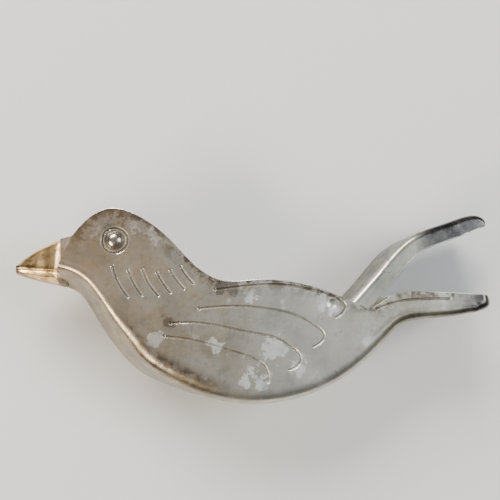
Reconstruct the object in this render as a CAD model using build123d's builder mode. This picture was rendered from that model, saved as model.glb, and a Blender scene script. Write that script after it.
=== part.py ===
from build123d import *
import math
import os

os.makedirs("parts", exist_ok=True)

# Table squeezer for a lemon wedge, stamped as a bird from silver-plated brass sheet.
# It lies on its left side: +X runs from beak to tail, +Y to the bird's back, +Z up.
# The origin is the middle of the footprint, at the level it rests on.
# The outlines below are written from the centre of the eye rivet.

# Driving sizes, in mm
LENGTH = 125.0              # beak tip to tail end; the outlines below follow it
SHEET = 1.0                 # thickness of every stamped sheet
BODY_WIDTH = 22.0           # over the two side walls
EYE_X = -35.5               # eye rivet from the footprint's middle, at a length of 125
EYE_Y = 16.16
RIVET_SHANK = 3.0           # diameter
RIVET_HEAD = 4.5            # diameter
RIVET_DOME = 1.3            # height of a formed head above the wall
RIVET_PLAY = 0.05           # radial, shank in walls, washers and tube
TUBE_OUTER = 4.6            # diameter of the spacer tube
WASHER_OUTER = 7.6          # diameter
WASHER_THICK = 0.6
EAR_PLAY_SIDE = 0.1         # between an ear and its washer
EAR_PLAY_BORE = 0.05        # radial, ear on the spacer tube
EAR_RADIUS = 4.8            # round end of the lever about the eye
GROOVE_WIDTH = 0.75
GROOVE_DEPTH = 0.3
RING_RADIUS = 3.1           # centre line of the ring stamped round the eye
DIMPLE_RADIUS = 1.45        # round punch mark by the rear of the wing

# Sizes that follow
OUTLINE_SCALE = LENGTH / 125.0
HALF_WIDTH = BODY_WIDTH / 2
INNER_HALF = HALF_WIDTH - SHEET
MID_Z = HALF_WIDTH + RIVET_DOME
TUBE_HALF = INNER_HALF - WASHER_THICK
LEVER_HALF = TUBE_HALF - EAR_PLAY_SIDE
TUBE_BORE = RIVET_SHANK / 2 + RIVET_PLAY

eye = Plane((EYE_X * OUTLINE_SCALE, EYE_Y * OUTLINE_SCALE, MID_Z))


def sized(points):
    """Outline points scaled to the bird's length; radii and slopes stay."""
    return [(p[0] * OUTLINE_SCALE, p[1] * OUTLINE_SCALE, *p[2:]) for p in points]


# Lower edge of the body at the seam, from the throat round breast and belly.
# Each station: x, y, how far the side slopes in over the half width, and the
# radius that turns the slope into the flat side wall.
KEEL = sized([
    (-14.6, -10.7, 4.0, 1.2),
    (-10.8, -12.2, 4.2, 1.2),
    (-8.0, -15.2, 4.4, 1.3),
    (-3.5, -22.3, 4.8, 1.6),
    (0.2, -27.1, 4.9, 1.9),
    (5.0, -32.0, 4.2, 2.4),
    (13.2, -36.3, 2.9, 3.0),
    (22.4, -39.3, 1.6, 3.3),
    (33.0, -40.9, 0.9, 3.3),
    (45.0, -39.8, 0.7, 3.3),
    (56.2, -35.6, 0.6, 3.3),
    (64.8, -29.5, 0.6, 3.2),
    (69.8, -24.4, 0.5, 2.9),
    (73.4, -20.9, 0.3, 2.5),
    (78.5, -19.5, 0.2, 2.1),
    (87.0, -18.7, 0.2, 1.8),
    (93.6, -17.6, 0.2, 1.6),
])
# Closed end of the tail, rounded back towards the beak. Stations as above.
TAIL_END = sized([(98.2, -15.3, 0.4, 3.2), (97.4, -13.1, 0.4, 2.2)])
# Open edge of the side wall, from the tail end over the back and the head.
BACK = sized([
    (86.0, -12.4),
    (77.1, -12.2),
    (70.5, -13.2),
    (65.2, -16.2),
    (60.9, -15.2),
    (51.9, -11.7),
    (43.0, -9.7),
    (34.7, -9.5),
    (26.4, -9.6),
    (20.8, -6.7),
    (13.9, 0.2),
    (5.6, 6.4),
    (-1.8, 8.1),
    (-7.2, 4.9),
    (-10.3, 1.0),
])
HEAD_FRONT_SLOPE = 4.2      # the head's front plate leans this far to the beak
BEAK_HALF = 5.6             # half width of the beak where it meets the head
BEAK_SKIN = 0.6             # wall of the beak
CORNER_STEPS = 7            # levels in the loft round the corner to the side wall


def normals(points):
    """Unit normals to the left of an open run of stations."""
    out = []
    for i in range(len(points)):
        a = points[max(i - 1, 0)]
        b = points[min(i + 1, len(points) - 1)]
        dx, dy = b[0] - a[0], b[1] - a[1]
        size = math.hypot(dx, dy)
        out.append((-dy / size, dx / size))
    return out


def inset_at(slope, corner, level, skin):
    """How far a station moves in at a level, for a surface skin deep."""
    half = HALF_WIDTH - skin
    bend = corner - skin
    rise = max(0.0, level - (half - bend))
    turn = bend - math.sqrt(max(0.0, bend**2 - rise**2))
    return skin + slope * level / half + turn


def keel_line(level, skin):
    """The keel's stations moved in for one level of the rounding."""
    line = []
    for (x, y, slope, corner), (nx, ny) in zip(KEEL, normals(KEEL)):
        inset = inset_at(slope, corner, level, skin)
        line.append((x + nx * inset, y + ny * inset))
    return line


def level_heights(skin):
    """Levels from the seam to the side wall, closer together near the wall."""
    half = HALF_WIDTH - skin
    bend = max(station[3] for station in KEEL) - skin
    heights = [0.0, BEAK_HALF]
    for i in range(CORNER_STEPS + 1):
        angle = math.radians(90 * i / CORNER_STEPS)
        heights.append(half - bend + bend * math.sin(angle))
    return heights


def front_lean(level):
    """How far ahead of the wall's front edge the head's front plate stands."""
    share = max(0.0, min(1.0, (HALF_WIDTH - level) / (HALF_WIDTH - BEAK_HALF)))
    return HEAD_FRONT_SLOPE * share


def body_level(side, level, skin):
    """One closed outline of the body at a level, as a sketch on its plane."""
    lower = keel_line(level, skin)
    end = [(x - inset_at(slope, r, level, skin), y) for x, y, slope, r in TAIL_END]
    lean = front_lean(level) - skin
    over = 4.0 if skin else 0.0
    end[-1] = (end[-1][0], end[-1][1] + over)
    back = [end[-1]] + [(x, y + over) for x, y in BACK]
    back[-1] = (BACK[-1][0] - lean, BACK[-1][1] + over)
    with BuildSketch(eye.offset(side * level)) as outline:
        with BuildLine():
            Spline(*lower)
            Spline(lower[-1], *end)
            Spline(*back)
            Line(back[-1], lower[0])
        make_face()
    return outline.sketch


def beak_section(side, x, top, crease, low, half, skin):
    """Half of a beak section across X, with a crease between its two jaws."""
    x, top, crease, low = (value * OUTLINE_SCALE for value in (x, top, crease, low))
    plane = Plane(eye.origin + Vector(x, 0, 0), x_dir=(0, 1, 0), z_dir=(1, 0, 0))
    half = half - skin
    top = top - skin
    low = low + skin
    with BuildSketch(plane) as section:
        with BuildLine():
            Polyline(
                (top, 0),
                (top - 0.10 * (top - crease), side * half * 0.62),
                (crease + 0.2, side * half),
                (crease - 0.2, side * half * 0.94),
                (low + 0.35 * (crease - low), side * half * 0.70),
                (low, 0),
                close=True,
            )
        make_face()
    return section.sketch


# x, top, crease and low of the beak, then its half width
BEAK = [
    (-12.8, 2.7, -7.6, -11.0, 5.6),
    (-15.6, 1.7, -7.3, -10.6, 5.3),
    (-21.0, -0.9, -6.7, -9.4, 3.1),
    (-26.8, -5.4, -6.5, -7.9, 1.2),
]


# Grooves stamped in both side walls, each a run of points
NECK_GROOVES = [
    [(-0.4, -6.5), (1.1, -10.3), (3.7, -14.1)],
    [(3.5, -7.5), (4.8, -10.4), (7.1, -13.7)],
    [(7.0, -7.3), (8.3, -10.1), (11.1, -13.7)],
    [(10.6, -8.0), (11.9, -10.2), (14.0, -12.9)],
    [(13.9, -7.4), (15.2, -9.4), (17.3, -11.9)],
    [(16.4, -6.5), (17.8, -8.6), (19.6, -10.6)],
]
WING_GROOVES = [
    [(25.0, -12.1), (33.1, -11.1), (43.7, -10.9), (50.2, -12.1), (56.0, -14.0),
     (58.2, -16.2), (57.0, -18.1), (55.5, -19.0)],
    [(21.2, -16.8), (28.3, -16.2), (39.8, -17.0), (49.9, -20.6), (52.5, -23.8),
     (51.4, -25.3), (49.6, -26.3)],
    [(14.2, -20.4), (19.2, -20.2), (33.8, -22.6), (44.5, -26.3), (46.5, -29.6),
     (45.3, -31.2), (43.3, -31.9)],
    [(12.7, -23.6), (19.2, -24.4), (30.2, -27.4), (38.1, -32.0), (38.4, -34.8)],
]
TAIL_GROOVES = [[(66.2, -16.8), (71.5, -15.0), (80.4, -14.1), (85.9, -14.1)]]
DIMPLE = (54.8, -15.5)


def shell_half(side):
    """One stamped half of the bird: side 1 is the right half, side -1 the left."""
    wall = eye.offset(side * HALF_WIDTH)
    inward = -side
    with BuildPart() as half:
        loft([body_level(side, h, 0.0) for h in level_heights(0.0)], ruled=True)
        loft([beak_section(side, *b, 0.0) for b in BEAK], ruled=True)
        loft(
            [body_level(side, h, SHEET) for h in level_heights(SHEET)],
            ruled=True,
            mode=Mode.SUBTRACT,
        )
        loft(
            [beak_section(side, *b, BEAK_SKIN) for b in BEAK],
            ruled=True,
            mode=Mode.SUBTRACT,
        )
        for run in NECK_GROOVES + WING_GROOVES + TAIL_GROOVES:
            with BuildSketch(wall):
                with BuildLine():
                    Spline(*sized(run))
                trace(line_width=GROOVE_WIDTH)
            extrude(amount=inward * GROOVE_DEPTH, mode=Mode.SUBTRACT)
        with BuildSketch(wall):
            Circle(RING_RADIUS + GROOVE_WIDTH / 2)
            Circle(RING_RADIUS - GROOVE_WIDTH / 2, mode=Mode.SUBTRACT)
            with Locations(sized([DIMPLE])[0]):
                Circle(DIMPLE_RADIUS)
        extrude(amount=inward * GROOVE_DEPTH, mode=Mode.SUBTRACT)
        with BuildSketch(wall):
            Circle(TUBE_BORE)
        extrude(amount=inward * SHEET * 1.5, mode=Mode.SUBTRACT)
    return half.part


body_half_right = shell_half(1)
body_half_left = shell_half(-1)


def ear_point(degrees):
    """A point on the round edge of the lever's ears."""
    angle = math.radians(degrees)
    return (EAR_RADIUS * math.cos(angle), EAR_RADIUS * math.sin(angle))


# Top line of the lever: over an ear, along the press, up the arm, out to the end
LEVER_TOP = [ear_point(41.4)] + sized([
    (9.0, -3.4), (16.0, -10.4), (26.0, -17.8), (36.0, -22.8),
    (44.0, -25.1), (50.2, -24.2), (54.6, -20.9), (60.4, -14.5), (67.4, -6.9),
    (72.6, -1.1), (76.6, 2.2), (83.1, 5.1), (89.0, 7.1), (94.0, 8.6), (96.8, 8.3),
    (98.1, 6.9), (97.4, 5.4),
])
# Lower edge of its flanges, back from the end to the ear
LEVER_EDGE = sized([
    (91.0, 2.8), (84.0, 0.3), (80.3, -1.2), (77.3, -3.4), (73.4, -7.6),
    (67.4, -14.1), (60.0, -22.0), (55.6, -26.5), (50.2, -29.4), (44.0, -29.8),
    (34.0, -27.3), (23.5, -22.2), (13.5, -16.3), (6.5, -11.3), (0.6, -6.6),
]) + [ear_point(219.6)]


def moved_line(points, distance):
    """A run of points moved to its left by a distance."""
    return [
        (x + nx * distance, y + ny * distance)
        for (x, y), (nx, ny) in zip(points, normals(points))
    ]


# Clear space under the web, taken out between the flanges and the ears
below_lever = sized([
    (96.0, 0.0), (90.0, -9.0), (60.0, -36.0), (30.0, -36.0), (-10.0, -10.0), (-10.0, 8.0),
])
# Back of the ears' round edge
ear_back = ear_point(131.8)

with BuildPart() as press_lever:
    with BuildSketch(eye.offset(-LEVER_HALF)):
        with BuildLine():
            Spline(*LEVER_TOP)
            Spline(LEVER_TOP[-1], *LEVER_EDGE)
            ThreePointArc(LEVER_EDGE[-1], ear_back, LEVER_TOP[0])
        make_face()
    extrude(amount=2 * LEVER_HALF)
    inner_top = moved_line(LEVER_TOP, -SHEET)
    with BuildSketch(eye.offset(-LEVER_HALF + SHEET)):
        with BuildLine():
            Spline(*inner_top)
            Polyline(
                inner_top[-1], *below_lever, inner_top[0],
            )
        make_face()
    extrude(amount=2 * (LEVER_HALF - SHEET), mode=Mode.SUBTRACT)
    with BuildSketch(eye.offset(-HALF_WIDTH)):
        Circle(TUBE_OUTER / 2 + EAR_PLAY_BORE)
    extrude(amount=BODY_WIDTH, mode=Mode.SUBTRACT)

# Tube between the ears, clamped with a washer at each end
with BuildPart() as spacer_tube:
    with BuildSketch(eye.offset(-TUBE_HALF)):
        Circle(TUBE_OUTER / 2)
        Circle(TUBE_BORE, mode=Mode.SUBTRACT)
    extrude(amount=2 * TUBE_HALF)


def washer(bottom):
    """A flat brass washer, its lower face at a height above the seam."""
    with BuildPart() as ring:
        with BuildSketch(eye.offset(bottom)):
            Circle(WASHER_OUTER / 2)
            Circle(TUBE_BORE, mode=Mode.SUBTRACT)
        extrude(amount=WASHER_THICK)
    return ring.part


washer_right = washer(TUBE_HALF)
washer_left = washer(-INNER_HALF)

# Rivet through both walls, headed over at each end to make the bird's eyes
dome_radius = (RIVET_DOME**2 + (RIVET_HEAD / 2) ** 2) / (2 * RIVET_DOME)
with BuildPart() as eye_rivet:
    profile_plane = Plane(eye.origin, x_dir=(1, 0, 0), z_dir=(0, -1, 0))
    top = HALF_WIDTH + RIVET_DOME
    slant = math.sin(math.radians(45))
    crown = top - dome_radius
    half_turn = math.asin(min(1.0, RIVET_HEAD / 2 / dome_radius)) / 2
    mid_x = dome_radius * math.sin(half_turn)
    mid_y = crown + dome_radius * math.cos(half_turn)
    with BuildSketch(profile_plane):
        with BuildLine():
            Line((0, -top), (0, top))
            ThreePointArc((0, top), (mid_x, mid_y), (RIVET_HEAD / 2, HALF_WIDTH))
            Line((RIVET_HEAD / 2, HALF_WIDTH), (RIVET_SHANK / 2, HALF_WIDTH))
            Line((RIVET_SHANK / 2, HALF_WIDTH), (RIVET_SHANK / 2, -HALF_WIDTH))
            Line((RIVET_SHANK / 2, -HALF_WIDTH), (RIVET_HEAD / 2, -HALF_WIDTH))
            ThreePointArc((RIVET_HEAD / 2, -HALF_WIDTH), (mid_x, -mid_y), (0, -top))
        make_face()
    revolve(axis=Axis(eye.origin, (0, 0, 1)), revolution_arc=360)

body_half_left.label = "body_half_left"
body_half_right.label = "body_half_right"
press_lever.part.label = "press_lever"
eye_rivet.part.label = "eye_rivet"
spacer_tube.part.label = "spacer_tube"
washer_left.label = "washer_left"
washer_right.label = "washer_right"

export_step(body_half_left, "parts/body_half_left.step")
export_step(body_half_right, "parts/body_half_right.step")
export_step(press_lever.part, "parts/press_lever.step")
export_step(eye_rivet.part, "parts/eye_rivet.step")
export_step(spacer_tube.part, "parts/spacer_tube.step")
export_step(washer_left, "parts/washer_left.step")
export_step(washer_right, "parts/washer_right.step")
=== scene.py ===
import math

import bpy
import numpy as np
from mathutils import Matrix, Vector


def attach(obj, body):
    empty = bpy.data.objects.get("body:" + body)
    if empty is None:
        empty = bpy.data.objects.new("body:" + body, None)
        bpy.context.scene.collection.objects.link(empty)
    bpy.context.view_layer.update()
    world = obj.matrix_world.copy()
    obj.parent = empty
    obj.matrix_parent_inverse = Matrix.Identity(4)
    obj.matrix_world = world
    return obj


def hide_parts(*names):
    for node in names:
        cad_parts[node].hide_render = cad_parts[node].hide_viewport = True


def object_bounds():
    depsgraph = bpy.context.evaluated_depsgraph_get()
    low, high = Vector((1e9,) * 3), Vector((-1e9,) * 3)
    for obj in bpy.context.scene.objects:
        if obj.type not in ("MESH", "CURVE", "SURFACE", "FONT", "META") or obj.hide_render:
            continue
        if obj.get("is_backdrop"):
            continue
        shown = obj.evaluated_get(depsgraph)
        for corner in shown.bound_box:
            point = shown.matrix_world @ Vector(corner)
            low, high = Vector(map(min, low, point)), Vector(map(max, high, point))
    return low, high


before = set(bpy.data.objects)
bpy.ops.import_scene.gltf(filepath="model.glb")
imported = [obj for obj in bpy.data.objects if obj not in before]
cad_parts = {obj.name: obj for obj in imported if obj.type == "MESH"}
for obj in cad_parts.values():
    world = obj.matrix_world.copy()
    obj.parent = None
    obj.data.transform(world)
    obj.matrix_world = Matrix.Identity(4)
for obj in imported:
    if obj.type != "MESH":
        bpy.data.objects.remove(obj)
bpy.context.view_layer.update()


# Right half of the bird's body. A sheet of brass about a millimetre thick is
# stamped into a flat side wall with a rounded throat, breast and belly, then
# silver-plated. It is soldered to the left half along the middle of the keel.
MM = 0.001
EYE = np.array((-35.5, 16.16, 12.3))    # middle of the eye rivet, in mm
SHEET = 1.0
HALF_WIDTH = 11.0
TRIM = 0.006                    # the metal keeps this far inside its envelope
# Stations along the keel: x, y, width of the sloping side, radius of the corner
KEEL = [
    (-14.6, -10.7, 4.0, 1.2), (-10.8, -12.2, 4.2, 1.2), (-8.0, -15.2, 4.4, 1.3),
    (-3.5, -22.3, 4.8, 1.6), (0.2, -27.1, 4.9, 1.9), (5.0, -32.0, 4.2, 2.4),
    (13.2, -36.3, 2.9, 3.0), (22.4, -39.3, 1.6, 3.3), (33.0, -40.9, 0.9, 3.3),
    (45.0, -39.8, 0.7, 3.3), (56.2, -35.6, 0.6, 3.3), (64.8, -29.5, 0.6, 3.2),
    (69.8, -24.4, 0.5, 2.9), (73.4, -20.9, 0.3, 2.5), (78.5, -19.5, 0.2, 2.1),
    (87.0, -18.7, 0.2, 1.8), (93.6, -17.6, 0.2, 1.6),
]
TAIL_END = [(93.6, -17.6, 0.2, 1.6), (98.2, -15.3, 0.4, 3.2), (97.4, -13.1, 0.4, 2.2)]
BACK = [
    (97.4, -13.1), (86.0, -12.4), (77.1, -12.2), (70.5, -13.2), (65.2, -16.2),
    (60.9, -15.2), (51.9, -11.7), (43.0, -9.7), (34.7, -9.5), (26.4, -9.6),
    (20.8, -6.7), (13.9, 0.2), (5.6, 6.4), (-1.8, 8.1), (-7.2, 4.9), (-10.3, 1.0),
]
BROW = (-10.3, 1.0)             # where the back edge meets the head's front plate
HEAD_LEAN = 4.2                 # slope of the front plate
BEAK_HALF = 5.6                 # half width where the beak starts
FRONT_SHARE = 0.08              # share of the columns on the head's front plate
END_SHARE = 0.06                # and round the tail's end
WALL_FROM = 18                  # first row that lies in the side wall
SHADE_FROM = 6                   # painted belly shade starts at this row, short of the corner
SHADE_THICK = 11                 # and is twice as dark from this one, round the corner
# Points of the keel side and of the back edge that face each other over the wall
ACROSS = [
    ((-10.3, 1.0), (-10.3, 1.0)), ((-10.2, -6.2), (-8.2, 3.9)), ((-3.8, -14.0), (0.5, 8.0)),
    ((3.4, -20.6), (9.2, 4.2)), ((9.5, -27.0), (15.6, -1.6)), ((20.0, -34.2), (24.2, -8.8)),
    ((33.0, -36.8), (34.7, -9.5)), ((45.0, -36.0), (44.5, -9.9)), ((56.0, -31.8), (54.5, -12.5)),
    ((66.0, -23.6), (62.4, -15.8)), ((71.4, -18.8), (67.4, -15.3)), ((76.5, -17.2), (73.5, -12.6)),
    ((87.0, -16.7), (86.0, -12.4)), ((93.4, -15.8), (92.5, -12.8)), ((94.8, -13.1), (94.8, -13.1)),
]


def curve_through(stations, count):
    """Evenly spaced samples of a smooth curve through stations of any width."""
    p = np.array(stations, float)
    t = np.r_[0.0, np.cumsum(np.hypot(*(p[1:, :2] - p[:-1, :2]).T))]
    n, h = len(p), np.diff(t)
    a, rhs = np.zeros((n, n)), np.zeros_like(p)
    a[0, 0] = a[-1, -1] = 1.0
    for i in range(1, n - 1):
        a[i, i - 1:i + 2] = h[i - 1], 2 * (h[i - 1] + h[i]), h[i]
        rhs[i] = 6 * ((p[i + 1] - p[i]) / h[i] - (p[i] - p[i - 1]) / h[i - 1])
    m = np.linalg.solve(a, rhs)

    def at(s):
        i = np.clip(np.searchsorted(t, s, side="right") - 1, 0, n - 2)
        u, v, w = (s - t[i])[:, None], (t[i + 1] - s)[:, None], h[i][:, None]
        return (m[i] * v**3 + m[i + 1] * u**3) / (6 * w) + (
            p[i] / w - m[i] * w / 6) * v + (p[i + 1] / w - m[i + 1] * w / 6) * u

    fine = at(np.linspace(0, t[-1], 40 * n))
    run = np.r_[0.0, np.cumsum(np.hypot(*(fine[1:, :2] - fine[:-1, :2]).T))]
    even = np.linspace(0, run[-1], count)
    return np.stack([np.interp(even, run, fine[:, k]) for k in range(p.shape[1])], 1)


def inward(line):
    """Unit normals to the left of a run of samples."""
    d = np.gradient(line[:, :2], axis=0)
    d /= np.hypot(*d.T)[:, None]
    return np.stack([-d[:, 1], d[:, 0]], 1)


def nearest_share(line, points):
    """Share of the way along a line at which it passes closest to each point."""
    gaps = [np.hypot(*(line - np.array(q)).T).argmin() / (len(line) - 1) for q in points]
    return np.maximum.accumulate(np.array(gaps))


def body_rows(skin, wall_rows, cols):
    """Rows of points from the seam over the corner and the wall to the back edge."""
    half = HALF_WIDTH - skin
    n_front, n_end = int(cols * FRONT_SHARE), int(cols * END_SHARE)
    keel = curve_through(KEEL, cols - n_front - n_end)
    end = curve_through(TAIL_END, n_end + 1)[1:]
    side = inward(keel)
    end_in = np.tile((-1.0, 0.0), (n_end, 1))
    blend = np.linspace(0, 1, n_end)[:, None] ** 0.5
    end_in = side[-1] * (1 - blend) + end_in * blend
    edge = np.vstack([keel, end])
    into = np.vstack([side, end_in / np.hypot(*end_in.T)[:, None]])
    slope, corner = edge[:, 2], edge[:, 3]
    bend = np.maximum(corner - skin, 0.15)
    rows = []
    for share in np.linspace(0, 1, 8)[:-1]:
        rows.append((share * (half - bend), 0 * bend))
    for phi in np.linspace(0, math.pi / 2, 12):
        rows.append((half - bend + bend * math.sin(phi), bend * (1 - math.cos(phi))))
    out = []
    for level, turn in rows:
        inset = skin + TRIM + slope * level / half + turn
        line = edge[:, :2] + into * inset[:, None]
        # The front plate runs from the brow down to the throat
        z0 = level[0]
        lean = HEAD_LEAN * min(1.0, max(0.0, (half - z0) / (half - BEAK_HALF)))
        brow = np.array((BROW[0] - lean + skin, BROW[1]))
        s = np.linspace(0, 1, n_front, endpoint=False)[:, None]
        front = brow * (1 - s) + line[0] * s
        z = np.r_[np.full(n_front, z0), level]
        out.append(np.column_stack([np.vstack([front, line]), z]))
    face_edge = out[-1][:, :2]
    back = curve_through(BACK[::-1], 900)
    stop = np.hypot(*(back - face_edge[-1]).T).argmin()
    back = back[:stop + 1]
    from_share = nearest_share(face_edge, [a for a, b in ACROSS])
    to_share = nearest_share(back, [b for a, b in ACROSS])
    from_share[0] = to_share[0] = 0.0
    from_share[-1] = to_share[-1] = 1.0
    keep = np.r_[True, np.diff(from_share) > 1e-6]
    own = np.linspace(0, 1, len(face_edge))
    there = np.interp(own, from_share[keep], to_share[keep]) * (len(back) - 1)
    k = np.arange(len(back))
    far = np.stack([np.interp(there, k, back[:, i]) for i in (0, 1)], 1)
    for share in np.linspace(0, 1, wall_rows + 1)[1:]:
        flat = face_edge * (1 - share) + far * share
        out.append(np.column_stack([flat, np.full(len(flat), half)]))
    return np.array(out)


# Lines stamped in the wall: six of neck feathers, four of wing, one on the tail
NECK_LINES = [
    [(-0.4, -6.5), (1.1, -10.3), (3.7, -14.1)], [(3.5, -7.5), (4.8, -10.4), (7.1, -13.7)],
    [(7.0, -7.3), (8.3, -10.1), (11.1, -13.7)], [(10.6, -8.0), (11.9, -10.2), (14.0, -12.9)],
    [(13.9, -7.4), (15.2, -9.4), (17.3, -11.9)], [(16.4, -6.5), (17.8, -8.6), (19.6, -10.6)],
]
WING_LINES = [
    [(25.0, -12.1), (33.1, -11.1), (43.7, -10.9), (50.2, -12.1), (56.0, -14.0),
     (58.2, -16.2), (57.0, -18.1), (55.5, -19.0)],
    [(21.2, -16.8), (28.3, -16.2), (39.8, -17.0), (49.9, -20.6), (52.5, -23.8),
     (51.4, -25.3), (49.6, -26.3)],
    [(14.2, -20.4), (19.2, -20.2), (33.8, -22.6), (44.5, -26.3), (46.5, -29.6),
     (45.3, -31.2), (43.3, -31.9)],
    [(12.7, -23.6), (19.2, -24.4), (30.2, -27.4), (38.1, -32.0), (38.4, -34.8)],
]
TAIL_LINE = [(66.2, -16.8), (71.5, -15.0), (80.4, -14.1), (85.9, -14.1)]
# Bare pale patches and brown stains on the wall: x, y, radius
PALE_PATCHES = [
    (39.9, -26.9, 3.3), (38.4, -29.0, 2.4), (35.4, -34.2, 2.9), (32.8, -34.8, 2.2),
    (10.2, -24.6, 2.4), (33.6, -13.8, 1.9), (25.4, -25.4, 2.0), (52.8, -15.0, 2.0),
    (54.8, -17.2, 1.4), (-5.0, 2.6, 2.3), (-3.2, 5.6, 1.6), (5.4, 4.4, 2.2),
    (9.4, 1.9, 2.2), (46.0, -31.2, 2.0), (64.5, -25.6, 1.9),
]
STAINS = [
    (26.6, -12.0, 2.2), (29.6, -11.5, 2.2), (32.4, -11.3, 1.6), (-8.2, 2.6, 2.6), (-3.0, 6.8, 3.0),
    (1.8, 7.2, 2.6), (-2.6, 1.0, 1.8), (7.2, 5.0, 2.4), (13.4, -20.4, 1.7), (9.4, -29.4, 2.6),
    (14.0, -33.0, 2.6), (4.6, -22.6, 2.0),
]
RING = 3.1                      # centre line of the ring round the eye
DIMPLE = (54.8, -15.5)          # round punch mark at the end of the wing
DIMPLE_RADIUS = 1.45
DIMPLE_DEPTH = 0.30
PUNCH_DEPTH = 0.28              # small round punch mark at the start of a line
NECK_END = (20.5, -14.9)        # the neck lines lie ahead of and above this point


def step_down(x, near, far):
    """1 up to near, 0 past far, smooth between."""
    t = np.clip((far - x) / (far - near), 0, 1)
    return t * t * (3 - 2 * t)


def blots(xy, patches):
    """Soft round spots: 1 at the middle of a patch, 0 at 1.6 times its radius."""
    value = np.zeros(len(xy))
    for x, y, size in patches:
        value = np.maximum(value, 1 - np.hypot(xy[:, 0] - x, xy[:, 1] - y) / (1.6 * size))
    return value


LINE_FLOOR = 0.09               # half width of a stamped line at its floor
LINE_HALF = 0.37                # and at the surface
LINE_BRIGHT_END = 0.58                # and where the bright edge beside it ends: wear with a painted highlight
LINE_DEPTH = 0.26
CATCH = 0.09                    # points nearer than this are moved onto a line's edges


def stamped(xy):
    """Points pulled onto the edges of the stamped lines, with depth, dirt, and bright edges of
    wear with a painted highlight.
    """
    gap = np.full(len(xy), 99.0)
    away = np.zeros_like(xy)
    start = np.full(len(xy), 99.0)
    for line in NECK_LINES + WING_LINES + [TAIL_LINE]:
        knots = curve_through(line, 12 * len(line))
        step = knots[1:] - knots[:-1]
        box = (xy > knots.min(0) - 2) & (xy < knots.max(0) + 2)
        near = np.nonzero(box.all(1))[0]
        for piece in np.array_split(near, max(1, len(near) // 4000)):
            off = xy[piece, None, :] - knots[:-1]
            t = np.clip((off * step).sum(2) / (step**2).sum(1), 0, 1)
            off = off - t[..., None] * step
            d = np.hypot(*off.transpose(2, 0, 1))
            best = d.argmin(1)
            every = np.arange(len(piece))
            closer = d[every, best] < gap[piece]
            gap[piece[closer]] = d[every, best][closer]
            away[piece[closer]] = off[every, best][closer]
            start[piece] = np.minimum(start[piece], np.hypot(*(xy[piece] - knots[0]).T))
    radius = np.hypot(*xy.T)
    ring = np.abs(radius - RING)
    on_ring = ring < gap
    away[on_ring] = (xy * ((radius - RING) / np.maximum(radius, 1e-6))[:, None])[on_ring]
    gap[on_ring] = ring[on_ring]
    away /= np.maximum(np.hypot(*away.T), 1e-6)[:, None]
    moved = xy.copy()
    for edge in (LINE_FLOOR, LINE_HALF, LINE_BRIGHT_END):
        close = np.abs(gap - edge) < CATCH
        moved[close] += away[close] * (edge - gap[close])[:, None]
        gap[close] = edge
    fall = np.clip((LINE_HALF - gap) / (LINE_HALF - LINE_FLOOR), 0, 1)
    depth = LINE_DEPTH * fall
    depth = np.maximum(depth, PUNCH_DEPTH * step_down(start, 0.26, 0.50))
    round_mark = np.hypot(*(moved - np.array(DIMPLE)).T)
    depth += DIMPLE_DEPTH * step_down(round_mark, 0.4, DIMPLE_RADIUS)
    neck = (moved[:, 0] < NECK_END[0]) & (moved[:, 1] > NECK_END[1])
    bright = np.where(neck, 1.0, 0.18)
    soil_and_shade = np.maximum(fall**3 * np.where(neck, 0.75, 0.60), 0.7 * step_down(start, 0.3, 0.55))
    # Bright rim beside each line and a ring round the punch mark: wear with a painted highlight
    wear_and_highlight = np.where(np.abs(gap - LINE_HALF) < 1e-6, bright, 0.0)
    wear_and_highlight = np.maximum(wear_and_highlight, 0.8 * step_down(np.abs(round_mark - 1.5), 0.05, 0.3))
    return moved, depth, soil_and_shade, wear_and_highlight


def loop_mesh(loops, side):
    """Closed solid from columns that are each a closed loop of points."""
    cols, rows = loops.shape[:2]
    points = loops.reshape(-1, 3) * (1, 1, side) + EYE
    index = np.arange(cols * rows).reshape(cols, rows)
    a, b = index[:-1], index[1:]
    quads = np.stack([a, b, np.roll(b, -1, 1), np.roll(a, -1, 1)], -1).reshape(-1, 4)
    caps = []
    for c, flip in ((index[0], False), (index[-1], True)):
        for i in range(rows // 2 - 1):
            quad = [c[i], c[i + 1], c[rows - 2 - i], c[rows - 1 - i]]
            caps.append(quad if flip else quad[::-1])
    quads = np.vstack([quads, np.array(caps)])
    if side < 0:
        quads = quads[:, ::-1]
    return points * MM, quads


# Values painted on the points of a piece, which its plated material reads
MARKS = ("soil_and_shade", "edge_wear_and_highlight", "turned", "inside", "rim", "shade", "gold", "pale", "stain")
SHARP = 30                      # degrees; a steeper fold is kept as an edge


def add_object(name, parts, marks):
    """One mesh object from several point and face arrays; a missing mark is nought."""
    points, faces, offset = [], [], 0
    for p, f in parts:
        points.append(p)
        faces.extend((f + offset).tolist())
        offset += len(p)
    mesh = bpy.data.meshes.new(name)
    mesh.from_pydata(np.vstack(points).tolist(), [], faces)
    for key in MARKS:
        layer = mesh.attributes.new(key, "FLOAT", "POINT")
        values = marks.get(key, np.zeros(offset))
        layer.data.foreach_set("value", np.asarray(values, np.float32))
    mesh.polygons.foreach_set("use_smooth", [True] * len(mesh.polygons))
    mesh.set_sharp_from_angle(angle=math.radians(SHARP))
    mesh.validate()
    obj = bpy.data.objects.new(name, mesh)
    bpy.context.scene.collection.objects.link(obj)
    return obj


BEAK_SKIN = 0.7
COLLAR = -15.7                  # behind this the beak is painted with shade and not filed bright
# x, top, crease and low of the beak, then its half width
BEAK = [
    (-12.8, 2.7, -7.6, -11.0, 5.6), (-14.4, 2.1, -7.5, -10.9, 5.6), (-15.6, 1.7, -7.3, -10.6, 5.3),
    (-18.3, 0.6, -7.0, -10.1, 4.1), (-21.0, -0.9, -6.7, -9.4, 3.1), (-23.3, -2.5, -6.4, -8.8, 2.2),
    (-25.4, -4.3, -6.3, -8.1, 1.45), (-26.6, -5.4, -6.4, -7.6, 0.95),
]


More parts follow.
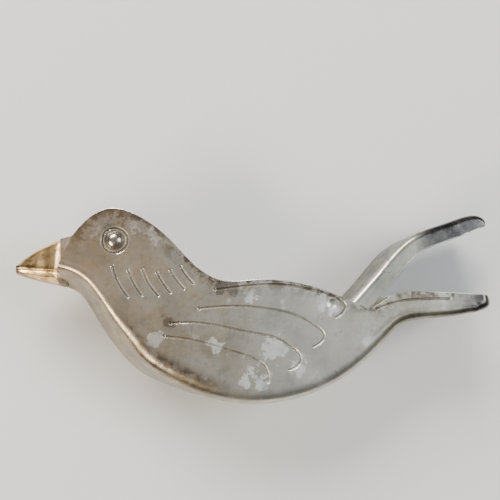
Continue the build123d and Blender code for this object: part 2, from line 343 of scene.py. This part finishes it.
def beak_section(top, crease, low, half, off):
    """Half a section of the beak from ridge to keel, off within its surface."""
    w, t, lo = half - off, top - off, low + off
    line = np.array([
        (t, 0), (t - 0.06 * (t - crease), w * 0.42), (t - 0.16 * (t - crease), w * 0.60),
        (crease + 0.9, w * 0.99), (crease + 0.28, w), (crease + 0.02, w * 0.90),
        (crease - 0.3, w * 0.97), (lo + 0.45 * (crease - lo), w * 0.80),
        (lo + 0.12 * (crease - lo), w * 0.42), (lo, 0),
    ])
    for corner in (0.12, 0.25):
        q = (1 - corner) * line[:-1] + corner * line[1:]
        r = corner * line[:-1] + (1 - corner) * line[1:]
        line = np.vstack([line[:1], np.stack([q, r], 1).reshape(-1, 2)[1:-1], line[-1:]])
    return line


def beak_loops():
    """Loops of half a beak: outer skin from ridge to keel, inner skin back."""
    stations = curve_through([(b[0], 0, *b[1:]) for b in BEAK], 70)
    loops = []
    for x, _, top, crease, low, half in stations:
        outer = beak_section(top, crease, low, half, 0.0)
        inner = beak_section(top, crease, low, half, min(BEAK_SKIN, half * 0.42))
        yz = np.vstack([outer, inner[::-1]])
        loops.append(np.column_stack([np.full(len(yz), x), yz]))
    return np.array(loops)[::-1]


def beak_marks(points, side):
    """Gilded sides with a painted golden reflection, a filed front, and painted shade along the
    low edge and round the collar.
    """
    ahead, up, out = ((points / MM - EYE) * (1, 1, side)).T
    low = np.interp(ahead, [b[0] for b in BEAK][::-1], [b[3] for b in BEAK][::-1])
    marks = {key: np.zeros(len(points)) for key in MARKS}
    # Painted shade: a dark line along the beak's low edge
    marks["soil_and_shade"] = np.exp(-((up - low) / 0.16) ** 2) * (ahead < -13.5)
    marks["turned"] = np.where(ahead > COLLAR, 0.15, 1.0)
    # Painted shade on the collar where the beak meets the head
    marks["shade"] = 0.8 * (ahead > COLLAR)
    # Gilding on the sides, with a painted golden reflection
    marks["gold"] = 1.0 * ((out > 1.2) & (ahead < -15.2) & (up > low + 0.35))
    return marks


def wall_marks(outer, n_rows, soil_and_shade, wear_and_highlight):
    """Dirt, wear, tarnish, bare spots, painted shade and painted highlights of a half shell, by
    columns and rows.
    """
    cols = outer.shape[1]
    front = int(cols * FRONT_SHARE)
    wall = slice(WALL_FROM, len(outer))
    on_wall = outer[wall]
    marks = {key: np.zeros((cols, n_rows)) for key in MARKS}
    marks["soil_and_shade"][:, wall] = soil_and_shade.reshape(-1, cols).T
    # Wear with a painted highlight beside the lines, and a painted highlight on the rounded back
    # edge
    marks["edge_wear_and_highlight"][:, wall] = wear_and_highlight.reshape(-1, cols).T
    marks["edge_wear_and_highlight"][:, len(outer) - 1:len(outer) + 3] = 1.0
    # Painted shade on the breast and belly, on the front plate and under the tail
    shade = marks["shade"]
    share = np.linspace(0, 1, cols)
    face = np.hypot(*(on_wall - on_wall[0])[:, :, :2].transpose(2, 0, 1))
    belly = step_down(-share, -0.26, -0.16) * step_down(share, 0.36, 0.52)
    breast = 0.45 * step_down(share, 0.30, 0.50)
    under_tail = step_down(-share, -0.80, -0.72)
    shade[:, wall] = (np.exp(-(face / 1.5) ** 2) * belly).T
    shade[:, SHADE_THICK:WALL_FROM] = belly[:, None]
    shade[:, SHADE_FROM:SHADE_THICK] = 0.5 * belly[:, None]
    shade[:, :SHADE_THICK] = np.maximum(shade[:, :SHADE_THICK], breast[:, None])
    shade[:front, :WALL_FROM - 1] = 0.8
    tail_rows = slice(SHADE_FROM, WALL_FROM - 1)
    shade[:, tail_rows] = np.maximum(shade[:, tail_rows], 0.7 * under_tail[:, None])
    shade[:, wall] += (0.6 * np.exp(-(face / 1.1) ** 2) * under_tail).T
    for key, spots in (("pale", PALE_PATCHES), ("stain", STAINS)):
        marks[key][:, wall] = blots(on_wall.reshape(-1, 3)[:, :2], spots).reshape(-1, cols).T
    marks["turned"][:, :WALL_FROM] = np.r_[np.ones(8), np.linspace(1, 0, 10)]
    marks["turned"][:front] *= 0.2
    marks["inside"][:, len(outer) + 2:] = 1.0
    reach = np.hypot(*(on_wall[-1] - on_wall[0])[:, :2].T)
    from_edge = np.linspace(1, 0, len(on_wall))
    marks["rim"][:, wall] = np.exp(-np.outer(reach, from_edge) / 2.6)
    return marks


EDGE_BACK = 0.16                # the wall's outer corner stops this short of its edge
EDGE_SOFT = (0.045, 0.05)       # middle of the rounding: back from the edge, down
EDGE_DOWN = 0.18                # and the rounding ends this far down the cut


def shell_half(name, side):
    """Half shell as a closed sheet, wall grooves pressed in, with its half of the beak."""
    cols, wall_rows = ((1080, 190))
    outer = body_rows(0.0, wall_rows, cols)
    inner = body_rows(SHEET, 10, cols)
    flat = outer[WALL_FROM:].reshape(-1, 3)
    moved, depth, soil_and_shade, wear_and_highlight = stamped(flat[:, :2])
    held = np.zeros((len(outer) - WALL_FROM, cols), bool)
    held[[0, -1]] = held[:, [0, -1]] = True
    flat[:, :2] = np.where(held.reshape(-1, 1), flat[:, :2], moved)
    x, y = flat[:, 0], flat[:, 1]
    # The hand-finished wall is never quite flat
    wave = 0.035 * np.sin(x * 0.31 + 0.9) * np.cos(y * 0.27)
    wave = wave + 0.02 * np.sin(x * 0.11 - y * 0.23)
    fade = np.repeat(np.linspace(0, 1, len(outer) - WALL_FROM), cols)
    flat[:, 2] -= depth + (wave + 0.055) * step_down(-fade, -0.12, 0.0)
    outer[WALL_FROM:] = flat.reshape(outer[WALL_FROM:].shape)
    # Cut edge along the back: rounded over slightly on its outer corner
    lip = outer[-1].copy()
    over = (outer[-1] - outer[-2])[:, :2]
    over /= np.maximum(np.hypot(*over.T), 1e-6)[:, None]
    outer[-1, :, :2] -= over * EDGE_BACK
    soft = lip - np.column_stack([over * EDGE_SOFT[0], np.full(cols, EDGE_SOFT[1])])
    lip[:, 2] -= EDGE_DOWN
    lower = lip.copy()
    lower[:, 2] = HALF_WIDTH - SHEET
    rows = np.concatenate([outer, [soft], [lip], [lower], inner[:-1][::-1]])
    if len(rows) % 2:
        # The end caps join rows in pairs, so their number has to be even
        rows = np.concatenate([rows, rows[-1:]])
    body = loop_mesh(rows.transpose(1, 0, 2), side)
    beak = loop_mesh(beak_loops(), side)
    on_body = wall_marks(outer, len(rows), soil_and_shade, wear_and_highlight)
    on_beak = beak_marks(beak[0], side)
    marks = {key: np.r_[on_body[key].ravel(), on_beak[key]] for key in MARKS}
    obj = add_object(name, [body, beak], marks)
    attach(obj, "squeezer_body")
    return obj


# Colours of the old plate, of what shows through it or lies on it, and of painted shade,
# reflections and highlights
COLD_BLOOM = (0.66, 0.66, 0.62)
BARE_PATCH = (0.62, 0.65, 0.65)
HEAD_BROWN = (0.25, 0.145, 0.062)
MIDDLE_SILVER = (0.66, 0.66, 0.61)
REAR_GREY = (0.30, 0.29, 0.24)
# Painted dark reflection at the ends of the handle and the tail
END_DARK_REFLECTION = (0.045, 0.043, 0.046)
LINE_DIRT_AND_SHADE = (0.13, 0.09, 0.045)
BRASS_SHOWING = (0.80, 0.66, 0.40)
GILT_AND_REFLECTION = (1.0, 0.68, 0.31)
GILT_WORN = (0.42, 0.20, 0.08)
INSIDE_BROWN = (0.34, 0.28, 0.19)
EDGE_WEAR_AND_HIGHLIGHT = (0.93, 0.90, 0.82)


def plated(name, base, warm, dark, rough, gold=0.25, head_share=0.68,
           ends_from=0.0485, ends_to=0.0580):
    """Old silver plate: satin and mottled, brown where it is handled least, with painted shade,
    reflections and highlights.
    """
    mat = bpy.data.materials.new(name)
    mat.use_nodes = True
    nodes, links = mat.node_tree.nodes, mat.node_tree.links
    shader = nodes["Principled BSDF"]
    shader.inputs["Metallic"].default_value = 1.0
    where = nodes.new("ShaderNodeTexCoord")

    def noise(scale, detail, roughness):
        n = nodes.new("ShaderNodeTexNoise")
        n.inputs["Scale"].default_value = scale
        n.inputs["Detail"].default_value = detail
        n.inputs["Roughness"].default_value = roughness
        links.new(where.outputs["Object"], n.inputs["Vector"])
        return n.outputs["Fac"]

    def window(value, low, high, to_low=0.0, to_high=1.0):
        r = nodes.new("ShaderNodeMapRange")
        r.inputs["From Min"].default_value = low
        r.inputs["From Max"].default_value = high
        r.inputs["To Min"].default_value = to_low
        r.inputs["To Max"].default_value = to_high
        links.new(value, r.inputs["Value"])
        return r.outputs["Result"]

    def maths(kind, a, b):
        m = nodes.new("ShaderNodeMath")
        m.operation = kind
        for socket, v in zip(m.inputs, (a, b)):
            if hasattr(v, "node"):
                links.new(v, socket)
            else:
                socket.default_value = v
        return m.outputs[0]

    def painted(key):
        a = nodes.new("ShaderNodeAttribute")
        a.attribute_name = key
        return a.outputs["Fac"]

    def mix(share, a, b):
        m = nodes.new("ShaderNodeMix")
        m.data_type = "RGBA"
        for socket, v in ((m.inputs["Factor"], share), (m.inputs["A"], a), (m.inputs["B"], b)):
            if hasattr(v, "node"):
                links.new(v, socket)
            elif isinstance(v, tuple):
                socket.default_value = (*v, 1.0)
            else:
                socket.default_value = v
        return m.outputs["Result"]

    split = nodes.new("ShaderNodeSeparateXYZ")
    links.new(where.outputs["Object"], split.inputs[0])
    along = split.outputs["X"]
    # Mottled silver with bare patches, stains, specks and streaks
    cloud = window(noise(85, 7, 0.70), 0.42, 0.58)
    ragged = noise(260, 8, 0.70)
    patchy = window(ragged, 0.36, 0.64, -0.65, 0.65)
    pale = window(maths("ADD", painted("pale"), patchy), 0.50, 0.56)
    pale_fleck = maths("MULTIPLY", window(noise(95, 7, 0.7), 0.60, 0.63), 0.5)
    pale = maths("MAXIMUM", pale, pale_fleck)
    stain = window(maths("ADD", painted("stain"), patchy), 0.44, 0.62)
    speck = window(noise(850, 5, 0.72), 0.50, 0.72)
    streak = window(noise(240, 7, 0.75), 0.50, 0.66)
    bloom = window(noise(135, 8, 0.72), 0.52, 0.57)
    colour = mix(cloud, base, warm)
    colour = mix(maths("MULTIPLY", streak, 0.34), colour, dark)
    colour = mix(maths("MULTIPLY", bloom, 0.22), colour, COLD_BLOOM)
    colour = mix(maths("MULTIPLY", pale, 0.72), colour, BARE_PATCH)
    colour = mix(maths("MULTIPLY", speck, 0.30), colour, dark)
    # Brown tarnish along the open edge and over the head, painted shade on the belly, and a
    # painted dark reflection at the handle and tail ends
    high = window(split.outputs["Y"], 0.0135, 0.0220)
    crown = maths("MULTIPLY", high, window(noise(230, 8, 0.72), 0.46, 0.52, 0.36, 1.0))
    by_edge = window(painted("rim"), 0.15, 0.7)
    nape = maths("MULTIPLY", by_edge, window(noise(300, 6, 0.75), 0.46, 0.54, 0.1, 1.0))
    under = window(noise(260, 6, 0.7), 0.40, 0.56, 0.35, 1.0)
    belly = maths("MULTIPLY", painted("shade"), under)
    ends = window(along, ends_from, ends_to)
    ends = maths("MULTIPLY", ends, window(noise(260, 7, 0.7), 0.40, 0.54, 0.72, 1.0))
    tarnish_and_shade = maths("MAXIMUM", maths("MAXIMUM", crown, nape), belly)
    tarnish_and_shade = maths("MAXIMUM", tarnish_and_shade, maths("MULTIPLY", stain, 0.75))
    middle_front = window(along, -0.012, 0.008, 0.0, 0.45)
    middle = maths("MULTIPLY", middle_front, window(along, 0.018, 0.036, 1.0, 0.0))
    colour = mix(window(along, -0.045, 0.0, head_share, 0.0), colour, HEAD_BROWN)
    colour = mix(middle, colour, MIDDLE_SILVER)
    colour = mix(window(along, 0.022, 0.044, 0.0, 0.60), colour, REAR_GREY)
    colour = mix(maths("MULTIPLY", tarnish_and_shade, 0.86), colour, dark)
    colour = mix(maths("MULTIPLY", ends, 0.94), colour, END_DARK_REFLECTION)
    # Dirt in the stamped lines and painted shade along the beak's low edge, brass through the worn
    # seam, gilding with a painted golden reflection, inside, and a painted highlight on the
    # sheet's edges with wear beside the lines
    uneven = window(noise(420, 4, 0.6), 0.35, 0.6, 0.5, 1.0)
    line_dirt_and_shade = maths("MULTIPLY", painted("soil_and_shade"), uneven)
    colour = mix(maths("MULTIPLY", line_dirt_and_shade, 0.8), colour, LINE_DIRT_AND_SHADE)
    rubbed = window(noise(180, 3, 0.5), 0.40, 0.65, 0.0, gold)
    colour = mix(maths("MULTIPLY", painted("turned"), rubbed), colour, BRASS_SHOWING)
    gilt_and_reflection = mix(window(noise(330, 6, 0.65), 0.50, 0.64), GILT_AND_REFLECTION, GILT_WORN)
    colour = mix(maths("MULTIPLY", painted("gold"), 0.9), colour, gilt_and_reflection)
    colour = mix(maths("MULTIPLY", painted("inside"), 0.55), colour, INSIDE_BROWN)
    colour = mix(maths("MULTIPLY", painted("edge_wear_and_highlight"), 0.95), colour, EDGE_WEAR_AND_HIGHLIGHT)
    links.new(colour, shader.inputs["Base Color"])
    roughness = window(noise(170, 5, 0.6), 0.3, 0.75, rough, rough + 0.16)
    roughness = maths("ADD", roughness, maths("MULTIPLY", pale, 0.12))
    roughness = maths("SUBTRACT", roughness, maths("MULTIPLY", painted("turned"), rough * 0.66))
    roughness = maths("SUBTRACT", roughness, maths("MULTIPLY", painted("edge_wear_and_highlight"), rough * 0.4))
    roughness = maths("ADD", roughness, maths("MULTIPLY", tarnish_and_shade, 0.03))
    roughness = maths("SUBTRACT", roughness, maths("MULTIPLY", ends, 0.10))
    links.new(roughness, shader.inputs["Roughness"])
    bump = nodes.new("ShaderNodeBump")
    bump.inputs["Strength"].default_value = 0.22
    bump.inputs["Distance"].default_value = 0.00012
    links.new(noise(520, 6, 0.6), bump.inputs["Height"])
    links.new(bump.outputs["Normal"], shader.inputs["Normal"])
    return mat


shell_metal = plated(
    "old_silver_plate", base=(0.60, 0.57, 0.48), warm=(0.40, 0.365, 0.28),
    dark=(0.085, 0.058, 0.038), rough=0.33,
)
right_half = shell_half("stamped_half_right", 1)
right_half.data.materials.append(shell_metal)
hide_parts("body_half_right")


# Left half of the body, stamped from the same sheet in a mirrored die. It meets
# the right half edge to edge, and the seam is soldered, filed and plated over.
left_half = shell_half("stamped_half_left", -1)
left_half.data.materials.append(shell_metal)
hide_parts("body_half_left")


# Press lever: one strip of brass folded to a channel with its open side down. Two
# round ears turn about the eye, the web presses the wedge, and the end is the
# upper handle, closed and rounded. Plated, with a painted dark reflection at its end.
LEVER_HALF = 9.3
LEVER_CORNER = 1.5
LEVER_INNER = 0.25              # the corner inside the channel
FLANGE_EASE = 0.12              # taken off the outer corner of a flange's edge
FLANGE_ROWS = 14                # rows of a section that lie down one flange
CORNER_ROWS = 9                 # round one corner
WEB_ROWS = 13                   # and from there to the middle of the web
EDGE_SAMPLES = 1400
EAR_RADIUS = 4.8
EAR_BORE = 2.35
EAR_END = 3.3                   # the ear stops and the channel starts this far ahead
EAR_INSET = 0.01              # the ear is this much thinner on both its faces
# Directions from the eye: along the lever, square to its top edge, to its low edge
AHEAD = np.array((0.633, -0.774))
EAR_TOP = np.array((0.750, 0.661))
EAR_LOW = np.array((-0.771, -0.637))
LEVER_TOP = [
    (3.6, 3.175), (9.0, -3.4), (16.0, -10.4), (26.0, -17.8), (36.0, -22.8), (44.0, -25.1),
    (50.2, -24.2), (54.6, -20.9), (60.4, -14.5), (67.4, -6.9), (72.6, -1.1), (76.6, 2.2),
    (83.1, 5.1), (89.0, 7.1), (94.0, 8.6), (96.8, 8.3), (98.1, 6.9), (97.4, 5.4),
]
LEVER_EDGE = [
    (97.4, 5.4), (91.0, 2.8), (84.0, 0.3), (80.3, -1.2), (77.3, -3.4), (73.4, -7.6),
    (67.4, -14.1), (60.0, -22.0), (55.6, -26.5), (50.2, -29.4), (44.0, -29.8),
    (34.0, -27.3), (23.5, -22.2), (13.5, -16.3), (6.5, -11.3), (0.6, -6.6), (-3.7, -3.058),
]
LEVER_PAIRS = [
    ((3.6, 3.175), (-3.7, -3.058)), ((16.0, -10.4), (12.0, -15.2)), ((26.0, -17.8), (23.5, -22.2)),
    ((36.0, -22.8), (34.4, -27.5)), ((44.0, -25.1), (44.0, -29.8)), ((50.2, -24.2), (52.2, -28.6)),
    ((54.6, -20.9), (57.8, -24.3)), ((67.4, -6.9), (70.7, -10.5)), ((72.6, -1.1), (76.0, -4.7)),
    ((76.6, 2.2), (79.2, -1.9)), ((83.1, 5.1), (84.8, 0.6)), ((94.0, 8.6), (94.6, 4.2)),
    ((97.4, 5.4), (97.2, 5.32)),
]


def lever_loops(cols):
    """Closed channel sections, one for each step from the ears to the handle end."""
    top = curve_through(LEVER_TOP, cols)
    edge_line = curve_through(LEVER_EDGE[::-1], EDGE_SAMPLES)
    share_top = nearest_share(top, [a for a, b in LEVER_PAIRS])
    share_edge = nearest_share(edge_line, [b for a, b in LEVER_PAIRS])
    share_top[-1] = share_edge[-1] = 1.0
    along = np.interp(np.linspace(0, 1, cols), share_top, share_edge) * (EDGE_SAMPLES - 1)
    k = np.arange(EDGE_SAMPLES)
    edge = np.stack([np.interp(along, k, edge_line[:, i]) for i in (0, 1)], 1)
    first = int(np.argmax(np.hypot(*(top - top[0]).T) > EAR_END))
    loops = []
    quarter = np.linspace(0, math.pi / 2, CORNER_ROWS)
    for t, e in zip(top[first:], edge[first:]):
        deep = max(np.hypot(*(e - t)), 0.3)
        down = (e - t) / deep
        c = min(LEVER_CORNER, deep * 0.85)
        web = np.linspace(0, LEVER_HALF - c, WEB_ROWS + 1)[:-1]
        side = np.linspace(c, deep - FLANGE_EASE, FLANGE_ROWS)[1:]
        h = TRIM + np.r_[web * 0, c * (1 - np.cos(quarter)), side, deep]
        z = np.r_[
            web, LEVER_HALF - c + c * np.sin(quarter),
            side * 0 + LEVER_HALF, LEVER_HALF - FLANGE_EASE,
        ]
        thick = min(SHEET, deep * 0.7)
        h_in = np.r_[
            web * 0 + thick, np.linspace(thick, thick + LEVER_INNER, CORNER_ROWS),
            np.linspace(thick + 0.3, deep, FLANGE_ROWS + 1)[1:],
        ]
        inner = LEVER_HALF - SHEET
        z_in = np.r_[
            web * (inner - LEVER_INNER) / (LEVER_HALF - c),
            np.linspace(inner - LEVER_INNER, inner, CORNER_ROWS), np.full(FLANGE_ROWS, inner),
        ]
        hh = np.r_[h[::-1], h[1:], h_in[::-1], h_in[1:]]
        zz = np.r_[-z[::-1], z[1:], z_in[::-1], -z_in[1:]]
        loops.append(np.column_stack([t[0] + down[0] * hh, t[1] + down[1] * hh, zz]))
    return np.array(loops)


def ear_plate(side):
    """Round ear with its bore, squared off where the flange takes over."""
    count = 96
    angle = np.linspace(0, 2 * math.pi, count, endpoint=False)
    ray = np.stack([np.cos(angle), np.sin(angle)], 1)
    ahead = ray @ AHEAD
    reach = np.where(ahead > 0, 9.0, EAR_RADIUS)
    for n, d in ((EAR_TOP, EAR_RADIUS), (EAR_LOW, EAR_RADIUS), (AHEAD, EAR_END)):
        toward = ray @ n
        limit = np.where(toward > 1e-6, d / np.maximum(toward, 1e-6), 99.0)
        reach = np.where(ahead > 0, np.minimum(reach, limit), reach)
    outer_z, inner_z = LEVER_HALF - EAR_INSET, LEVER_HALF - SHEET + EAR_INSET
    rings = [(EAR_BORE, inner_z), (EAR_BORE, outer_z), (None, outer_z), (None, inner_z)]
    points = []
    for radius, z in rings:
        size = reach if radius is None else np.full(count, radius)
        points.append(np.column_stack([ray * size[:, None], np.full(count, side * z)]))
    points = np.array(points).transpose(1, 0, 2)
    index = np.arange(count * 4).reshape(count, 4)
    a, b = index, np.roll(index, -1, 0)
    quads = np.stack([a, b, np.roll(b, -1, 1), np.roll(a, -1, 1)], -1).reshape(-1, 4)
    if side > 0:
        quads = quads[:, ::-1]
    return (points.reshape(-1, 3) + EYE) * MM, quads


channel = lever_loops(420)
n_cols, n_rows = channel.shape[:2]
sweep = loop_mesh(channel, 1)
ears = [ear_plate(1), ear_plate(-1)]
n_ears = sum(len(p) for p, f in ears)
half_rows = n_rows // 2
bend = np.zeros(n_rows)
bend[FLANGE_ROWS:FLANGE_ROWS + CORNER_ROWS + 1] = 0.1
bend[half_rows - FLANGE_ROWS - CORNER_ROWS - 2:half_rows - FLANGE_ROWS] = 0.1
# Painted shade and dark reflection along the web of the channel
web_shade = np.zeros(n_rows)
web_shade[half_rows // 2 - WEB_ROWS:half_rows // 2 + WEB_ROWS + 1] = 0.8
within = np.r_[np.zeros(half_rows), np.ones(n_rows - half_rows)]
# Painted highlight along the edges of the flanges
tips = np.zeros(n_rows)
tips[[0, 1, half_rows - 2, half_rows - 1, half_rows, n_rows - 1]] = 1.0
lever = add_object("channel_lever", [sweep, *ears], {
    "shade": np.r_[np.tile(web_shade, n_cols), np.zeros(n_ears)],
    "turned": np.r_[np.tile(bend, n_cols), np.zeros(n_ears)],
    "inside": np.r_[np.tile(within, n_cols), np.ones(n_ears)],
    "edge_wear_and_highlight": np.r_[np.tile(tips, n_cols), np.zeros(n_ears)],
})
lever.data.materials.append(plated(
    "old_silver_plate_lever", base=(0.54, 0.52, 0.44), warm=(0.38, 0.355, 0.28),
    dark=(0.06, 0.055, 0.05), rough=0.28, gold=0.05, head_share=0.0,
    ends_from=0.0420, ends_to=0.0475,
))
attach(lever, "lever")
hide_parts("press_lever")


# Eye rivet: a plated brass pin through both walls, headed over at each end. The
# two smooth domes are the bird's eyes.
RIVET_SHANK = 1.5
RIVET_HEAD = 2.25
RIVET_DOME = 1.3


def turned_piece(name, outline, count=96):
    """Turned piece from a closed outline of radius and height about the eye."""
    line = np.array(outline, float)
    angle = np.linspace(0, 2 * math.pi, count, endpoint=False)
    ray = np.stack([np.cos(angle), np.sin(angle)], 1)
    points = np.array([
        np.column_stack([np.outer(line[:, 0], r), line[:, 1]]) for r in ray
    ])
    rows = len(line)
    index = np.arange(count * rows).reshape(count, rows)
    a, b = index, np.roll(index, -1, 0)
    quads = np.stack([a, np.roll(a, -1, 1), np.roll(b, -1, 1), b], -1).reshape(-1, 4)
    obj = add_object(name, [((points.reshape(-1, 3) + EYE) * MM, quads)], {})
    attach(obj, "squeezer_body")
    return obj


ball = (RIVET_DOME**2 + RIVET_HEAD**2) / (2 * RIVET_DOME)
sweep_angle = math.asin(RIVET_HEAD / ball)
dome = [(max(ball * math.sin(t), 0.004), HALF_WIDTH + RIVET_DOME - ball + ball * math.cos(t))
        for t in np.linspace(0, sweep_angle, 22)]
dome[-1] = (RIVET_HEAD, HALF_WIDTH + 0.06)
dome.append((RIVET_HEAD - 0.04, HALF_WIDTH - 0.03))
half_line = dome + [(RIVET_SHANK, HALF_WIDTH - 0.03)]
outline = half_line + [(r, -z) for r, z in half_line[::-1]]
rivet = turned_piece("eye_rivet_plated", outline[::-1])
rivet.data.materials.append(plated(
    "polished_silver_plate", base=(0.74, 0.73, 0.69), warm=(0.66, 0.64, 0.58),
    dark=(0.3, 0.26, 0.2), rough=0.14, gold=0.1,
))
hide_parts("eye_rivet")


# Spacer tube: drawn brass tube, bare, clamped over the rivet between the washers.
# The lever's ears turn on it.
TUBE_BORE = 1.55
TUBE_OUTER = 2.3
TUBE_HALF = 9.4


def dull_brass(name):
    """Bare brass, dulled by juice and washing."""
    mat = bpy.data.materials.new(name)
    mat.use_nodes = True
    nodes, links = mat.node_tree.nodes, mat.node_tree.links
    shader = nodes["Principled BSDF"]
    shader.inputs["Metallic"].default_value = 1.0
    spots = nodes.new("ShaderNodeTexNoise")
    spots.inputs["Scale"].default_value = 700
    spots.inputs["Detail"].default_value = 5
    where = nodes.new("ShaderNodeTexCoord")
    links.new(where.outputs["Object"], spots.inputs["Vector"])
    ramp = nodes.new("ShaderNodeValToRGB")
    ramp.color_ramp.elements[0].color = (0.34, 0.23, 0.10, 1)
    ramp.color_ramp.elements[1].color = (0.62, 0.47, 0.23, 1)
    ramp.color_ramp.elements[0].position = 0.35
    ramp.color_ramp.elements[1].position = 0.65
    links.new(spots.outputs["Fac"], ramp.inputs["Fac"])
    links.new(ramp.outputs["Color"], shader.inputs["Base Color"])
    dull = nodes.new("ShaderNodeMapRange")
    dull.inputs["To Min"].default_value = 0.32
    dull.inputs["To Max"].default_value = 0.55
    links.new(spots.outputs["Fac"], dull.inputs["Value"])
    links.new(dull.outputs["Result"], shader.inputs["Roughness"])
    return mat


def ring_outline(bore, outer, low, high, ease):
    """Outline of a plain ring with its corners eased."""
    return [
        (bore, low + ease), (bore, high - ease), (bore + ease, high), (outer - ease, high),
        (outer, high - ease), (outer, low + ease), (outer - ease, low), (bore + ease, low),
    ]


brass = dull_brass("bare_brass")
tube_line = ring_outline(TUBE_BORE, TUBE_OUTER, -TUBE_HALF, TUBE_HALF, 0.1)
tube = turned_piece("spacer_tube_brass", tube_line)
tube.data.materials.append(brass)
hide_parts("spacer_tube")


# Two thrust washers, punched from brass sheet. Each is clamped between a side
# wall and the tube's end, and keeps an ear off the wall.
WASHER_OUTER = 3.8
WASHER_THICK = 0.6
for name, low in (("right", TUBE_HALF), ("left", -TUBE_HALF - WASHER_THICK)):
    washer_line = ring_outline(TUBE_BORE, WASHER_OUTER, low, low + WASHER_THICK, 0.08)
    washer = turned_piece("washer_brass_" + name, washer_line)
    washer.data.materials.append(brass)
    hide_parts("washer_" + name)


# Studio: a plain pale floor under the lower rivet head, a soft overhead light,
# a low warm fill, and the camera looking down on the near side wall.
floor_mesh = bpy.data.meshes.new("studio_floor")
floor_mesh.from_pydata([(-2, -2, 0), (2, -2, 0), (2, 2, 0), (-2, 2, 0)], [], [(0, 1, 2, 3)])
floor = bpy.data.objects.new("studio_floor", floor_mesh)
bpy.context.scene.collection.objects.link(floor)
floor_mat = bpy.data.materials.new("pale_floor")
floor_mat.use_nodes = True
floor_shader = floor_mat.node_tree.nodes["Principled BSDF"]
floor_shader.inputs["Base Color"].default_value = (0.66, 0.65, 0.63, 1)
floor_shader.inputs["Roughness"].default_value = 0.85
floor_mesh.materials.append(floor_mat)
floor.location.z = -0.0002
floor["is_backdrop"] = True

world = bpy.data.worlds.new("studio")
world.use_nodes = True
sky = world.node_tree
look = sky.nodes.new("ShaderNodeTexCoord")
parts = sky.nodes.new("ShaderNodeSeparateXYZ")
sky.links.new(look.outputs["Generated"], parts.inputs[0])
ramp = sky.nodes.new("ShaderNodeValToRGB")
ramp.color_ramp.elements[0].position = 0.0
ramp.color_ramp.elements[0].color = (0.30, 0.29, 0.28, 1)
ramp.color_ramp.elements[1].position = 1.0
ramp.color_ramp.elements[1].color = (0.44, 0.45, 0.47, 1)
dim = ramp.color_ramp.elements.new(0.45)
dim.color = (0.14, 0.14, 0.15, 1)
sky.links.new(parts.outputs["Z"], ramp.inputs["Fac"])
sky.links.new(ramp.outputs["Color"], sky.nodes["Background"].inputs["Color"])
sky.nodes["Background"].inputs["Strength"].default_value = 0.9
bpy.context.scene.world = world


def area_light(name, place, size, watts, colour):
    """Square soft light aimed at the middle of the object."""
    data = bpy.data.lights.new(name, "AREA")
    data.shape = "RECTANGLE"
    data.size, data.size_y = size
    data.energy = watts
    data.color = colour
    light = bpy.data.objects.new(name, data)
    bpy.context.scene.collection.objects.link(light)
    light.location = place
    aim = -np.array(place)
    light.rotation_mode = "QUATERNION"
    light.rotation_quaternion = Vector(aim).to_track_quat("-Z", "Y")


area_light("window", (-0.30, 0.62, 0.48), (0.6, 0.3), 12.0, (1.0, 0.98, 0.95))
area_light("warm_side", (-0.42, -0.30, 0.34), (0.35, 0.14), 4.5, (1.0, 0.91, 0.76))
area_light("cool_side", (0.42, 0.10, 0.40), (0.25, 0.2), 2.5, (0.86, 0.93, 1.0))

CAMERA_HEIGHT = 135.0           # above the near side wall
CAMERA_AT = EYE + (21.4, -21.1, HALF_WIDTH + CAMERA_HEIGHT)
RIGHT = Vector((0.99582, 0.0, 0.09131))
UP = Vector((-0.01273, 0.99024, 0.13879))
BACKWARD = Vector((-0.09041, -0.13937, 0.98610))
lens = bpy.data.cameras.new("camera")
lens.sensor_width = 36
lens.lens = 38.88
lens.clip_start = 0.01
camera = bpy.data.objects.new("camera", lens)
bpy.context.scene.collection.objects.link(camera)
turn = Matrix((RIGHT, UP, BACKWARD)).transposed().to_4x4()
camera.matrix_world = Matrix.Translation(Vector(CAMERA_AT * MM)) @ turn
bpy.context.scene.camera = camera

low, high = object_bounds()
